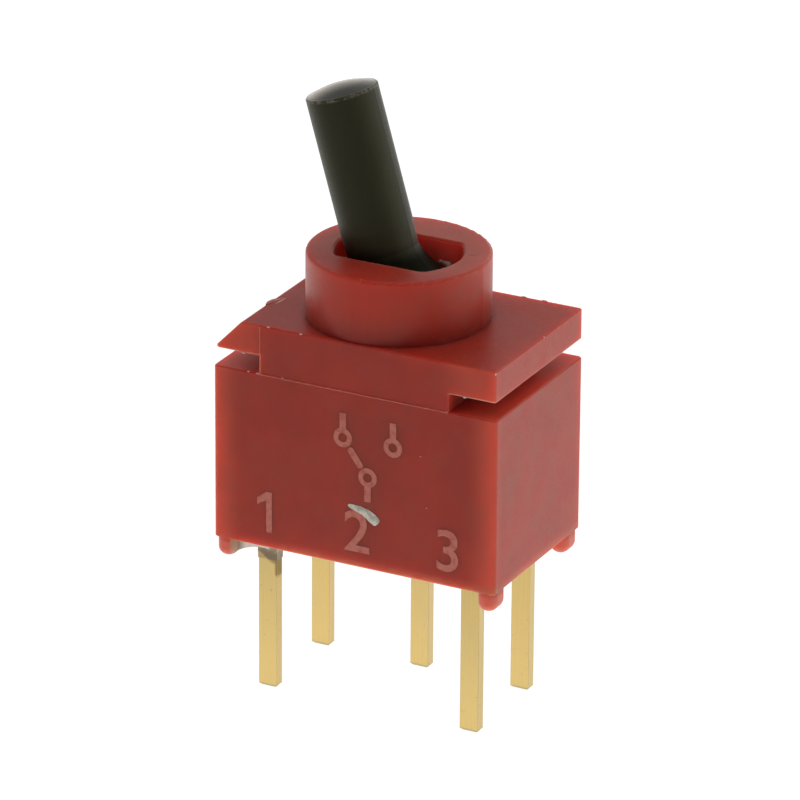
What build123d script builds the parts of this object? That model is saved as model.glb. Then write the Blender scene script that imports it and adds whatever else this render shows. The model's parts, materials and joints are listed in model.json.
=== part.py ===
from build123d import *
import os
from math import asin, atan2, cos, degrees, hypot, radians, sin, sqrt

# Sub-miniature through-hole toggle switch, SPDT, lever thrown towards -X.
# Millimetres. Z = 0 is the plane of the terminal tips, the Z axis runs through the
# middle of the bushing, X is the long side of the body and -Y its front face.

CUT = 0.1                   # how far a cutting tool passes the face that it opens

# ---- terminal grid ----------------------------------------------------------------
PITCH = 2.54
PIN_WIDTH = 0.45            # along X
PIN_THICKNESS = 0.25        # along Y
PIN_POINT = 0.05            # coined corner at the tips
ROW_Y = PITCH / 2           # circuit terminals at +Y, support pins at -Y
HEAD_WIDTH = 0.65           # wider head that stakes a support pin over the base
HEAD_HEIGHT = 0.35

# ---- housing: case walls, end notches, flange and bushing in one moulding ----------
CASE_LENGTH = 7.0
CASE_DEPTH = 4.3
CASE_BOTTOM = 3.80
CASE_TOP = 7.95
CASE_CORNER = 0.10
EDGE = 0.03                 # broken moulded edge
NECK_LENGTH = 4.66          # between the two end notches
NOTCH_GAP = 0.44
FLANGE_LENGTH = 6.94
FLANGE_THICKNESS = 0.71
FLANGE_BEVEL = 0.68         # the -X end slopes over the whole thickness
FLANGE_TIP = 0.05
BUSHING_RADIUS = 2.07
BUSHING_HEIGHT = 1.50
BUSHING_RIM = 0.08
SLOT_RADIUS = 1.44
SLOT_WIDTH = 1.94
SLOT_CORNER = 0.20
SLOT_EDGE = 0.05
WITNESS_WIDTH = 0.03        # raised parting lines left by the mould
WITNESS_HEIGHT = 0.012

WELL_LENGTH = 5.8           # contact chamber
WELL_DEPTH = 3.1
WELL_TOP = 7.50
WELL_CORNER = 0.20
RECESS_LENGTH = 6.0         # opening that takes the base and the seal
RECESS_DEPTH = 3.3
RECESS_TOP = 4.72

FOOT_LENGTH = 0.46
FOOT_DEPTH = 0.66
FOOT_HEIGHT = 0.46
FOOT_INSET = 0.02
FOOT_CORNER = 0.22
FOOT_TOE = 0.20

# ---- base and seal -----------------------------------------------------------------
BASE_GAP = 0.02
BASE_BOTTOM = 4.10
PILLAR_LENGTH = 0.70
PILLAR_FRONT = -0.55
PILLAR_BACK = 1.05
SEAL_BOTTOM = 3.88
WEB_DROP = 0.42             # resin that hangs between one foot and its pin
WEB_MIDDLE_DROP = 0.30
WEB_THICKNESS = 0.34
COLLAR_DROP = 0.65
COLLAR_THICKNESS = 0.03
COLLAR_FLARE = 0.06

# ---- lever -------------------------------------------------------------------------
TILT = 16.3                 # degrees from upright, either way
PIVOT_Z = 9.12
STEM_RADIUS = 0.82
STEM_TOP = 5.17             # rim, measured from the pivot along the lever
STEM_ROOT_RADIUS = 0.80     # the stem draws in slightly where it enters the bushing
STEM_STRAIGHT_Z = 2.00      # where it reaches its full size
DOME_HEIGHT = 0.15
DOME_LEDGE = 0.05           # flat left round the dome by the mould
STEM_RIM = 0.03
HUB_RADIUS = 1.38
HUB_FLAT = 0.93             # half width over the flats that slide in the slot
FLARE_Z = 1.45              # from here down the stem widens to the hub
FLARE_HOLLOW = 0.06
SHOULDER_Z = 0.80
TRUNNION_RADIUS = 0.45
TRUNNION_REACH = 1.26
TRUNNION_GAP = 0.03
FOOT_STOP = 0.88            # half width of the lever's foot, which meets the slot wall
FOOT_STOP_END = -2.05
FOOT_END = -2.45
FOOT_END_HALF = 0.68
BORE_RADIUS = 0.45
BORE_TOP = -0.62

# ---- plunger and spring, along the lever's axis --------------------------------------
PLUNGER_GAP = 0.03
PLUNGER_TOP = -1.90
PLUNGER_STEP = -2.34
NOSE_RADIUS = 0.28
NOSE_END = -3.30
SPIGOT_RADIUS = 0.19
SPIGOT_HEIGHT = 0.35
SPRING_RADIUS = 0.31        # to the middle of the wire
SPRING_WIRE = 0.055         # wire radius
SPRING_SIDES = 6            # the fine wire's section has six sides
SPRING_TURNS = 5.5

# ---- rocker contact ------------------------------------------------------------------
COUPLING = 0.39             # rocker degrees for each degree of the lever
DIHEDRAL = 15.0             # rise of each arm when level
STRIP = 0.12
VALLEY_RADIUS = 0.40        # upper face of the bend
ARM_LENGTH = 2.65           # from the bend's tangent point
BUTTON_AT = 2.42
BUTTON_RADIUS = 0.15
BUTTON_HEIGHT = 0.07
BUTTON_BEVEL = 0.035
ROCKER_WIDTH = 1.20
WAIST_WIDTH = 0.66
WAIST_LENGTH = 0.60
TOUCH = 0.02                # what is left between faces that meet and move

# ---- saddle of the common terminal ---------------------------------------------------
SADDLE_LENGTH = 0.60
EAR_GAP = 0.03
EAR_THICKNESS = 0.14
EAR_LENGTH = 0.44
EAR_HEIGHT = 0.50
BEND_INSIDE = 0.10
TAB_END = -0.50

# ---- sizes that follow ---------------------------------------------------------------
tilt = radians(TILT)
flange_bottom = CASE_TOP + NOTCH_GAP
flange_top = flange_bottom + FLANGE_THICKNESS
bushing_top = flange_top + BUSHING_HEIGHT
rocker_tilt = COUPLING * TILT
nose_centre = -NOSE_END - NOSE_RADIUS
press_slope = radians(DIHEDRAL - rocker_tilt)
# The bend's centre is where the pressed arm lies TOUCH below the plunger's nose.
nose_drop = TOUCH + NOSE_RADIUS - VALLEY_RADIUS + nose_centre * sin(tilt) * sin(press_slope)
fulcrum_z = PIVOT_Z - nose_centre * cos(tilt) - nose_drop / cos(press_slope)
saddle_top = fulcrum_z - VALLEY_RADIUS - STRIP - TOUCH
underside = VALLEY_RADIUS + STRIP + BUTTON_HEIGHT
pad_top = fulcrum_z + BUTTON_AT * sin(press_slope) - underside * cos(press_slope) - TOUCH


def block(x0, x1, y0, y1, z0, z1):
    """A box from its lowest to its highest corner."""
    middle = Pos((x0 + x1) / 2, (y0 + y1) / 2, (z0 + z1) / 2)
    return middle * Box(x1 - x0, y1 - y0, z1 - z0)


def centred(length, depth, z0, z1):
    """A box centred on the Z axis."""
    return block(-length / 2, length / 2, -depth / 2, depth / 2, z0, z1)


def rounded(length, depth, z0, z1, radius):
    """A centred box with rounded upright edges."""
    box = centred(length, depth, z0, z1)
    return fillet(box.edges().filter_by(Axis.Z), radius)


def along_y(points, depth):
    """An outline in X and Z, extruded to both sides of Y = 0."""
    face = make_face(Plane.XZ * Polyline(*points, close=True))
    return extrude(face, depth / 2, both=True)


def on_lever(part):
    """Places a part made about the upright lever axis, pivot at its origin."""
    return Pos(0, 0, PIVOT_Z) * Rot(0, -TILT, 0) * part


# ---- housing -------------------------------------------------------------------------

def case_walls():
    walls = rounded(CASE_LENGTH, CASE_DEPTH, CASE_BOTTOM, CASE_TOP, CASE_CORNER)
    ends = walls.faces().sort_by(Axis.Z)
    return chamfer(ends[0].edges() + ends[-1].edges(), EDGE)


def flange():
    half = FLANGE_LENGTH / 2
    plate = along_y(
        [(-half, flange_bottom), (-half + FLANGE_BEVEL, flange_top),
         (half, flange_top), (half, flange_bottom)],
        CASE_DEPTH,
    )
    tip = plate.edges().filter_by(Axis.Y).sort_by(Axis.X)[0]
    plate = fillet(tip, FLANGE_TIP)
    upright = plate.edges().filter_by(Axis.Z).sort_by(Axis.X)[-2:]
    plate = fillet(upright, FLANGE_TIP)
    return chamfer(plate.faces().sort_by(Axis.Z)[-1].edges(), EDGE)


def foot_place(side_x, side_y):
    """Middle of the foot at one corner of the case."""
    x = CASE_LENGTH / 2 - FOOT_INSET - FOOT_LENGTH / 2
    y = CASE_DEPTH / 2 - FOOT_INSET - FOOT_DEPTH / 2
    return side_x * x, side_y * y


def foot(side_x, side_y):
    """One stand-off at a corner of the case, with a round toe."""
    x, y = foot_place(side_x, side_y)
    nub = rounded(FOOT_LENGTH, FOOT_DEPTH, CASE_BOTTOM - FOOT_HEIGHT, CASE_BOTTOM + CUT, FOOT_CORNER)
    nub = fillet(nub.faces().sort_by(Axis.Z)[0].edges(), FOOT_TOE)
    return Pos(x, y, 0) * nub


def witness_lines():
    """Parting lines: across both long faces, and up one of them beside the notch."""
    reach = CASE_DEPTH + 2 * WITNESS_HEIGHT
    half = WITNESS_WIDTH / 2
    across = centred(NECK_LENGTH, reach, CASE_TOP - half, CASE_TOP + half)
    x = -NECK_LENGTH / 2 + half
    up = block(x - half, x + half, -reach / 2, reach / 2, CASE_TOP, flange_top - EDGE)
    return across + up


def lever_slot():
    """The slot through the bushing: a circle cut by two flats."""
    outline = Circle(SLOT_RADIUS) & Rectangle(2 * SLOT_RADIUS, SLOT_WIDTH)
    outline = fillet(outline.vertices(), SLOT_CORNER)
    return Pos(0, 0, WELL_TOP - CUT) * extrude(outline, bushing_top - WELL_TOP + 2 * CUT)


def trunnion_pockets():
    """Bearing slots for the trunnions, open downwards into the contact chamber."""
    radius = TRUNNION_RADIUS + TRUNNION_GAP
    depth = 2 * (TRUNNION_REACH + TRUNNION_GAP)
    seat = Pos(0, 0, PIVOT_Z) * Rot(90, 0, 0) * Cylinder(radius, depth)
    return seat + centred(2 * radius, depth, WELL_TOP - CUT, PIVOT_Z)


def housing():
    body = case_walls() + centred(NECK_LENGTH, CASE_DEPTH, CASE_TOP - EDGE, flange_bottom + EDGE)
    body += flange()
    bushing = Pos(0, 0, (flange_top + bushing_top) / 2) * Cylinder(BUSHING_RADIUS, BUSHING_HEIGHT)
    bushing = fillet(bushing.faces().sort_by(Axis.Z)[-1].edges(), BUSHING_RIM)
    body += bushing
    for side_x in (-1, 1):
        for side_y in (-1, 1):
            body += foot(side_x, side_y)
    body += witness_lines()
    body -= lever_slot()
    body -= trunnion_pockets()
    body -= rounded(WELL_LENGTH, WELL_DEPTH, CASE_BOTTOM - CUT, WELL_TOP, WELL_CORNER)
    body -= rounded(RECESS_LENGTH, RECESS_DEPTH, CASE_BOTTOM - CUT, RECESS_TOP, WELL_CORNER)
    mouth = body.faces().filter_by(Axis.Z).sort_by(Axis.Z)[-1].inner_wires()[0]
    return chamfer(mouth.edges(), SLOT_EDGE)


# ---- base, seal and terminals ----------------------------------------------------------

def bent_terminal(width, top):
    """A pin that rises through the base and turns forwards into a contact tab."""
    back = ROW_Y + PIN_THICKNESS / 2
    front = ROW_Y - PIN_THICKNESS / 2
    low = top - PIN_THICKNESS
    outline = Plane.YZ * Polyline(
        (front, 0), (back, 0), (back, top), (TAB_END, top), (TAB_END, low), (front, low), close=True)
    strip = extrude(make_face(outline), width / 2, both=True)
    outside = ((0, back, top), BEND_INSIDE + PIN_THICKNESS)
    inside = ((0, front, low), BEND_INSIDE)
    for corner, radius in (outside, inside):
        bend = strip.edges().filter_by(Axis.X).sort_by_distance(corner)[0]
        strip = fillet(bend, radius)
    return chamfer(strip.faces().sort_by(Axis.Z)[0].edges(), PIN_POINT)


def end_terminal(side):
    return Pos(side * PITCH, 0, 0) * bent_terminal(PIN_WIDTH, pad_top)


def common_terminal():
    """The middle terminal, whose tab is the saddle that the rocker sits in."""
    post = bent_terminal(PIN_WIDTH, saddle_top)
    low = saddle_top - PIN_THICKNESS
    inner = WAIST_WIDTH / 2 + EAR_GAP
    outer = inner + EAR_THICKNESS
    saddle = block(-SADDLE_LENGTH / 2, SADDLE_LENGTH / 2, TAB_END, outer, low, saddle_top)
    half = EAR_LENGTH / 2
    for side in (-1, 1):
        y0, y1 = sorted((side * inner, side * outer))
        ear = block(-half, half, y0, y1, low, saddle_top + EAR_HEIGHT)
        saddle += fillet(ear.edges().filter_by(Axis.Y).group_by(Axis.Z)[-1], half / 2)
    return post + saddle


def support_pin(side):
    """A pin with no circuit, staked over the base by a wider head."""
    pin = centred(PIN_WIDTH, PIN_THICKNESS, 0, RECESS_TOP)
    pin = chamfer(pin.faces().sort_by(Axis.Z)[0].edges(), PIN_POINT)
    pin += centred(HEAD_WIDTH, PIN_THICKNESS, RECESS_TOP, RECESS_TOP + HEAD_HEIGHT)
    return Pos(side * PITCH, -ROW_Y, 0) * pin


def pin_holes():
    """The five straight pin sections, as tools that cut the base and the seal."""
    places = [(-PITCH, ROW_Y), (0, ROW_Y), (PITCH, ROW_Y), (-PITCH, -ROW_Y), (PITCH, -ROW_Y)]
    pin = centred(PIN_WIDTH, PIN_THICKNESS, CASE_BOTTOM - COLLAR_DROP - CUT, RECESS_TOP + CUT)
    return [Pos(x, y, 0) * pin for x, y in places]


def base():
    """Moulded floor with a pillar under each contact tab."""
    plate = rounded(RECESS_LENGTH - 2 * BASE_GAP, RECESS_DEPTH - 2 * BASE_GAP,
                    BASE_BOTTOM, RECESS_TOP, WELL_CORNER - BASE_GAP)
    half = PILLAR_LENGTH / 2
    for x, top in ((-PITCH, pad_top), (0, saddle_top), (PITCH, pad_top)):
        x0 = max(x - half, -WELL_LENGTH / 2 + 2 * BASE_GAP)
        x1 = min(x + half, WELL_LENGTH / 2 - 2 * BASE_GAP)
        plate += block(x0, x1, PILLAR_FRONT, PILLAR_BACK, RECESS_TOP - CUT, top - PIN_THICKNESS)
    for hole in pin_holes():
        plate -= hole
    return plate


def resin_web():
    """Resin that hangs in a curve between the front -X foot and its pin."""
    foot_x, foot_y = foot_place(-1, -1)
    reach_x = -PITCH - foot_x
    reach_y = -ROW_Y - foot_y
    reach = hypot(reach_x, reach_y)
    curve = ThreePointArc((0, -WEB_DROP), (reach / 2, -WEB_MIDDLE_DROP), (reach, -WEB_DROP))
    sides = Polyline((reach, -WEB_DROP), (reach, 0), (0, 0), (0, -WEB_DROP))
    web = extrude(make_face(Plane.XZ * (curve + sides)), WEB_THICKNESS / 2, both=True)
    web = Pos(foot_x, foot_y, CASE_BOTTOM) * Rot(0, 0, degrees(atan2(reach_y, reach_x))) * web
    lip = block(-RECESS_LENGTH / 2, -PITCH, -RECESS_DEPTH / 2, -ROW_Y, CASE_BOTTOM, SEAL_BOTTOM)
    lip &= rounded(RECESS_LENGTH, RECESS_DEPTH, CASE_BOTTOM, SEAL_BOTTOM, WELL_CORNER)
    return web - foot(-1, -1) + lip


def resin_collar():
    """The thin skirt of resin round the front -X pin."""
    z0 = CASE_BOTTOM - COLLAR_DROP
    skirt = loft([
        Pos(0, 0, z0) * Rectangle(PIN_WIDTH + COLLAR_THICKNESS, PIN_THICKNESS + COLLAR_THICKNESS),
        Pos(0, 0, SEAL_BOTTOM) * Rectangle(PIN_WIDTH + COLLAR_FLARE, PIN_THICKNESS + COLLAR_FLARE),
    ])
    return Pos(-PITCH, -ROW_Y, 0) * skirt


def terminal_seal():
    """Potting resin over the base, level just inside the rim."""
    slab = rounded(RECESS_LENGTH, RECESS_DEPTH, SEAL_BOTTOM, BASE_BOTTOM, WELL_CORNER)
    resin = slab + resin_web() + resin_collar()
    for hole in pin_holes():
        resin -= hole
    return resin


# ---- lever, plunger, spring --------------------------------------------------------------

def lever_profile():
    """Half outline of the turned shape: domed stem, flared root, ball hub and foot."""
    dome_radius = STEM_RADIUS - DOME_LEDGE
    crown = (dome_radius ** 2 + DOME_HEIGHT ** 2) / (2 * DOME_HEIGHT)
    half = asin(dome_radius / crown) / 2
    top = STEM_TOP + DOME_HEIGHT
    mid_dome = (crown * sin(half), top - crown * (1 - cos(half)))
    dome_edge = (dome_radius, STEM_TOP)
    rim = (STEM_RADIUS, STEM_TOP)
    neck = (STEM_ROOT_RADIUS, FLARE_Z)
    shoulder = (sqrt(HUB_RADIUS ** 2 - SHOULDER_Z ** 2), SHOULDER_Z)
    flare = ((neck[0] + shoulder[0]) / 2 - FLARE_HOLLOW, (neck[1] + shoulder[1]) / 2)
    leg = (FOOT_STOP, -sqrt(HUB_RADIUS ** 2 - FOOT_STOP ** 2))
    outline = (
        ThreePointArc((0, top), mid_dome, dome_edge)
        + Polyline(dome_edge, rim, (STEM_RADIUS, STEM_STRAIGHT_Z), neck)
        + ThreePointArc(neck, flare, shoulder)
        + ThreePointArc(shoulder, (HUB_RADIUS, 0), leg)
        + Polyline(leg, (FOOT_STOP, FOOT_STOP_END), (FOOT_END_HALF, FOOT_END), (0, FOOT_END), (0, top))
    )
    face = make_face(Plane.XZ * outline)
    corner = face.vertices().sort_by_distance((STEM_RADIUS, 0, STEM_TOP))[0]
    return chamfer(corner, STEM_RIM)


def lever():
    """Turned shape with two flats that slide in the bushing's slot, and cross trunnions."""
    body = revolve(lever_profile(), Axis.Z)
    for y0, y1 in ((-HUB_RADIUS, -HUB_FLAT), (HUB_FLAT, HUB_RADIUS)):
        body -= block(-HUB_RADIUS, HUB_RADIUS, y0, y1, FOOT_END - CUT, FLARE_Z)
    body += Rot(90, 0, 0) * Cylinder(TRUNNION_RADIUS, 2 * TRUNNION_REACH)
    depth = BORE_TOP - FOOT_END + CUT
    body -= Pos(0, 0, BORE_TOP - depth / 2) * Cylinder(BORE_RADIUS, depth)
    return on_lever(body)


def plunger():
    """Round-nosed follower with a collar that runs in the lever's bore."""
    collar_radius = BORE_RADIUS - PLUNGER_GAP
    collar_length = PLUNGER_TOP - PLUNGER_STEP
    body = Pos(0, 0, PLUNGER_TOP - collar_length / 2) * Cylinder(collar_radius, collar_length)
    body += Pos(0, 0, PLUNGER_TOP + SPIGOT_HEIGHT / 2) * Cylinder(SPIGOT_RADIUS, SPIGOT_HEIGHT)
    body += Pos(0, 0, (PLUNGER_STEP - nose_centre) / 2) * Cylinder(NOSE_RADIUS, PLUNGER_STEP + nose_centre)
    body += Pos(0, 0, -nose_centre) * Sphere(NOSE_RADIUS)
    return on_lever(body)


def plunger_spring():
    """Coil spring between the end of the bore and the plunger's collar."""
    z0 = PLUNGER_TOP + SPRING_WIRE + TOUCH
    height = BORE_TOP - SPRING_WIRE - TOUCH - z0
    path = Pos(0, 0, z0) * Helix(height / SPRING_TURNS, height, SPRING_RADIUS)
    section = Plane(path @ 0, z_dir=path % 0) * RegularPolygon(SPRING_WIRE, SPRING_SIDES)
    return on_lever(sweep(section, path, is_frenet=True))


# ---- rocker --------------------------------------------------------------------------------

def rocker_contact():
    """Dished strip that see-saws in the saddle, with a contact button under each end."""
    rise = radians(DIHEDRAL)
    middle = VALLEY_RADIUS + STRIP / 2
    apex = -middle / cos(rise)
    reach = ARM_LENGTH + middle * sin(rise) / cos(rise)
    tip = (reach * cos(rise), apex + reach * sin(rise))
    path = Plane.XZ * FilletPolyline((-tip[0], tip[1]), (0, apex), tip, radius=middle)
    section = Plane(path @ 0, x_dir=(0, 1, 0), z_dir=path % 0) * Rectangle(ROCKER_WIDTH, STRIP)
    strip = sweep(section, path)
    notch = (ROCKER_WIDTH - WAIST_WIDTH) / 2
    height = STRIP / 2 + BUTTON_HEIGHT
    button = Cylinder(BUTTON_RADIUS, height)
    button = chamfer(button.edges().sort_by(Axis.Z)[0], BUTTON_BEVEL)
    for side in (-1, 1):
        y = side * (ROCKER_WIDTH - notch) / 2
        strip -= Pos(0, y, apex) * Box(WAIST_LENGTH, notch, 2 * VALLEY_RADIUS)
        strip += Rot(0, -side * DIHEDRAL, 0) * Pos(side * BUTTON_AT, 0, -middle - height / 2) * button
    return Pos(0, 0, fulcrum_z) * Rot(0, rocker_tilt, 0) * strip


PARTS = {
    "housing": housing(),
    "base": base(),
    "terminal_seal": terminal_seal(),
    "lever": lever(),
    "plunger": plunger(),
    "plunger_spring": plunger_spring(),
    "rocker_contact": rocker_contact(),
    "common_terminal": common_terminal(),
    "left_terminal": end_terminal(-1),
    "right_terminal": end_terminal(1),
    "left_support_pin": support_pin(-1),
    "right_support_pin": support_pin(1),
}

os.makedirs("parts", exist_ok=True)
for name, part in PARTS.items():
    export_step(part, f"parts/{name}.step")
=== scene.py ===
"""Looks of the sub-miniature toggle switch: camera, light, surfaces, print and wear."""

import json
import math
import random

import bpy
from mathutils import Matrix, Vector


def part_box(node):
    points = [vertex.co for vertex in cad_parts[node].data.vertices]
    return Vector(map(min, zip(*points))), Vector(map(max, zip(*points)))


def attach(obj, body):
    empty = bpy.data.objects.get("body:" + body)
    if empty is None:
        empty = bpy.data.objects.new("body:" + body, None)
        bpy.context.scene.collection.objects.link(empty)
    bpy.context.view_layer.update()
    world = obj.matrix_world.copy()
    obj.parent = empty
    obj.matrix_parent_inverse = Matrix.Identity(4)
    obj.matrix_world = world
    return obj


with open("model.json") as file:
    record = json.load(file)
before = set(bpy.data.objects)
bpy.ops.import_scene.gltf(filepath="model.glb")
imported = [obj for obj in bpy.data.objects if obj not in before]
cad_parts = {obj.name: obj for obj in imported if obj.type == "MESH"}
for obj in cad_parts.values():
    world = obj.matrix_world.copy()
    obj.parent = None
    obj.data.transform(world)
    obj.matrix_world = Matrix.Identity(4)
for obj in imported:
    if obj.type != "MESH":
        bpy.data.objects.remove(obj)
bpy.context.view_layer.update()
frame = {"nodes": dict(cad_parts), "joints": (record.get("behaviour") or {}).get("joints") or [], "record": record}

MM = 0.001                      # the scene is in metres, sizes below are in millimetres

# ---- places read from the frame, in millimetres ---------------------------------------
housing_low, housing_high = (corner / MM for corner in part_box("housing"))
pin_low, pin_high = (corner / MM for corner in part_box("left_support_pin"))
joints = {joint["name"]: joint for joint in frame["joints"]}
mounts = {mount["name"]: mount for mount in frame["record"]["mounts"]}
pivot = Vector(joints["lever_tilt"]["pos_m"]) / MM
lever_end = mounts["lever_end"]
lever_axis = Vector(lever_end["axis"])
bushing_radius = mounts["bushing"]["dims"]["r_mm"]
bushing_top = housing_high.z

# ---- sizes that the frame doesn't state -------------------------------------------------
WITNESS = 0.012                 # the parting lines stand this far proud of the front face
FOOT_HEIGHT = 0.46
CASE_TOP = 7.95
NOTCH_ROOT = 2.33               # half the length of the neck between the two end notches
FLANGE_BOTTOM = 8.39
FLANGE_TOP = 9.10
FLANGE_END = 3.47
BEVEL_TOP = -2.79               # where the bevelled end meets the flange's top
SLOT_RADIUS = 1.44
SLOT_HALF = 0.97
DOME_REACH = 5.24               # from the lever's pivot to the middle of its domed end
HEAD_OVERHANG = 0.10            # a support pin's hidden head stands out this far on each side

# ---- places that follow -----------------------------------------------------------------
front_y = housing_low.y + WITNESS
case_bottom = mounts["board_stand_offs"]["pos_m"][2] / MM + FOOT_HEIGHT
pin_left = pin_low.x + HEAD_OVERHANG
pin_right = pin_high.x - HEAD_OVERHANG
lever_rim = lever_axis.dot(Vector(lever_end["pos_m"])) / MM + lever_end["dims"]["length_mm"] / 2
dome_middle = pivot + lever_axis * DOME_REACH

# ---- camera -----------------------------------------------------------------------------
CAMERA_AZIMUTH = 27.1
CAMERA_ELEVATION = 22.61
CAMERA_ROLL = 0.418
CAMERA_DISTANCE = 150.0
CAMERA_LENS = 303.0
CAMERA_TARGET = Vector((0, 0, 6.0))
CAMERA_SLIDE = (0.048, 0.920)   # along the picture's right and up


def make_camera():
    azimuth = math.radians(CAMERA_AZIMUTH)
    elevation = math.radians(CAMERA_ELEVATION)
    roll = math.radians(CAMERA_ROLL)
    back = Vector((math.sin(azimuth) * math.cos(elevation),
                   -math.cos(azimuth) * math.cos(elevation), math.sin(elevation)))
    level = (-back).cross(Vector((0, 0, 1))).normalized()
    upright = level.cross(-back)
    right = level * math.cos(roll) + upright * math.sin(roll)
    up = upright * math.cos(roll) - level * math.sin(roll)
    place = CAMERA_TARGET + back * CAMERA_DISTANCE + right * CAMERA_SLIDE[0] + up * CAMERA_SLIDE[1]
    data = bpy.data.cameras.new("camera")
    data.lens = CAMERA_LENS
    data.sensor_width = 36
    data.clip_start = 0.01
    data.clip_end = 5
    camera = bpy.data.objects.new("camera", data)
    turn = Matrix((right, up, back)).transposed().to_4x4()
    camera.matrix_world = Matrix.Translation(place * MM) @ turn
    bpy.context.scene.collection.objects.link(camera)
    bpy.context.scene.camera = camera


make_camera()


# ---- node helpers -----------------------------------------------------------------------

class Nodes:
    """Adds nodes to one tree, sets their inputs and links them."""

    def __init__(self, tree):
        self.tree = tree
        self.tree.nodes.clear()

    def add(self, kind, settings=None, **inputs):
        node = self.tree.nodes.new(kind)
        for name, value in (settings or {}).items():
            setattr(node, name, value)
        for name, value in inputs.items():
            self.feed(node, name.replace("_", " "), value)
        return node

    def feed(self, node, name, value):
        """Links a socket to an input, or sets the input; a name in digits is its index."""
        socket = node.inputs[int(name)] if name.isdigit() else node.inputs[name]
        if isinstance(value, bpy.types.NodeSocket):
            self.tree.links.new(value, socket)
        else:
            socket.default_value = value

    def math(self, operation, first, second=0.0, third=0.0):
        node = self.add("ShaderNodeMath", {"operation": operation})
        for index, value in enumerate((first, second, third)):
            self.feed(node, str(index), value)
        return node.outputs[0]

    def minus(self, first, second):
        return self.math("SUBTRACT", first, second)

    def plus(self, first, second):
        return self.math("ADD", first, second)

    def times(self, first, *others):
        """The product of all the values."""
        for other in others:
            first = self.math("MULTIPLY", first, other)
        return first

    def highest(self, first, *others):
        for other in others:
            first = self.math("MAXIMUM", first, other)
        return first

    def absolute(self, value):
        return self.math("ABSOLUTE", value)

    def dot(self, first, second):
        node = self.add("ShaderNodeVectorMath", {"operation": "DOT_PRODUCT"})
        self.feed(node, "0", first)
        self.feed(node, "1", second)
        return node.outputs["Value"]

    def smooth(self, value, low, high, to_low=0.0, to_high=1.0):
        """A smooth step of value between low and high."""
        node = self.add("ShaderNodeMapRange", {"interpolation_type": "SMOOTHSTEP"}, Value=value)
        node.inputs["From Min"].default_value = low
        node.inputs["From Max"].default_value = high
        node.inputs["To Min"].default_value = to_low
        node.inputs["To Max"].default_value = to_high
        return node.outputs["Result"]

    def mix(self, share, first, second):
        node = self.add("ShaderNodeMix", {"data_type": "RGBA"})
        self.feed(node, "0", share)
        self.feed(node, "6", first)
        self.feed(node, "7", second)
        return node.outputs[2]

    def place_mm(self):
        """The surface point in the frame, in millimetres."""
        point = self.add("ShaderNodeTexCoord").outputs["Object"]
        scaled = self.add("ShaderNodeVectorMath", {"operation": "SCALE"}, Vector=point)
        scaled.inputs["Scale"].default_value = 1 / MM
        return scaled.outputs[0]

    def split(self, vector):
        """The X, Y and Z of a vector."""
        return tuple(self.add("ShaderNodeSeparateXYZ", Vector=vector).outputs)

    def true_normal(self):
        return self.add("ShaderNodeNewGeometry").outputs["True Normal"]

    def from_axis(self, x, y):
        """Distance from the Z axis."""
        level = self.add("ShaderNodeCombineXYZ", X=x, Y=y).outputs[0]
        return self.add("ShaderNodeVectorMath", {"operation": "LENGTH"}, Vector=level).outputs["Value"]

    def stretched(self, vector, factors):
        node = self.add("ShaderNodeVectorMath", {"operation": "MULTIPLY"})
        self.feed(node, "0", vector)
        self.feed(node, "1", factors)
        return node.outputs[0]

    def noise(self, vector, scale, detail=3.0, roughness=0.55, shift=0.0):
        """Noise with scale features to the millimetre, where the vector is in millimetres."""
        node = self.add("ShaderNodeTexNoise", {"noise_dimensions": "4D"}, Vector=vector, Scale=scale,
                        Detail=detail, Roughness=roughness, W=shift)
        return node.outputs["Fac"]

    def rounded_normal(self, radius_mm, normal):
        """A normal that turns over each edge, and how far it is from the true one there."""
        rounded = self.add("ShaderNodeBevel", {"samples": 4}, Radius=radius_mm * MM).outputs[0]
        return rounded, self.minus(1.0, self.dot(rounded, normal))

    def output(self, kind, surface):
        self.add(kind, Surface=surface.outputs[0])


def colour(red, green, blue):
    return (red, green, blue, 1.0)


def new_material(name):
    """A new material, its node helper and its principled shader, linked to the output."""
    made = bpy.data.materials.new(name)
    made.use_nodes = True
    nodes = Nodes(made.node_tree)
    shader = nodes.add("ShaderNodeBsdfPrincipled")
    nodes.output("ShaderNodeOutputMaterial", shader)
    return made, nodes, shader


def bumped(nodes, shader, height, depth_mm, normal=None):
    node = nodes.add("ShaderNodeBump", Height=height, Distance=depth_mm * MM)
    if normal:
        nodes.feed(node, "Normal", normal)
    nodes.feed(shader, "Normal", node.outputs[0])


# ---- colours ----------------------------------------------------------------------------
WHITE = colour(1, 1, 1)

RED = colour(0.50, 0.042, 0.022)
RED_DEEP = colour(0.44, 0.036, 0.019)
RED_GLOW = colour(0.68, 0.110, 0.064)      # where light comes through from the sides
RED_SLOT = colour(0.95, 0.230, 0.190)      # the slot's walls, lit through the bushing
RED_LIT = colour(0.62, 0.045, 0.020)       # upper part of the bushing's wall
RED_BEVEL_SHADE = colour(0.28, 0.024, 0.012)       # painted shade on the flange beside its bevel
RED_SHADE = colour(0.34, 0.012, 0.008)     # round the bushing's foot
# painted glow on the feet, as if lit through from the floor below
RED_FEET_GLOW = colour(0.70, 0.185, 0.130)
RED_LOW_GLOW = colour(0.42, 0.240, 0.130)       # painted glow along the case's lower edge, as if lit from the floor
RED_RIM_SHEEN = colour(0.70, 0.200, 0.140)       # painted sheen on the end of the bushing
RED_BROWN = colour(0.36, 0.075, 0.052)     # blotches all over
RED_DULL = colour(0.34, 0.120, 0.070)      # mottling of the end faces
RED_PALE_HIGHLIGHT_AND_FLASH = colour(0.66, 0.260, 0.190)      # painted highlight and pale flash on broken stretches of the edges, and specks

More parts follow.
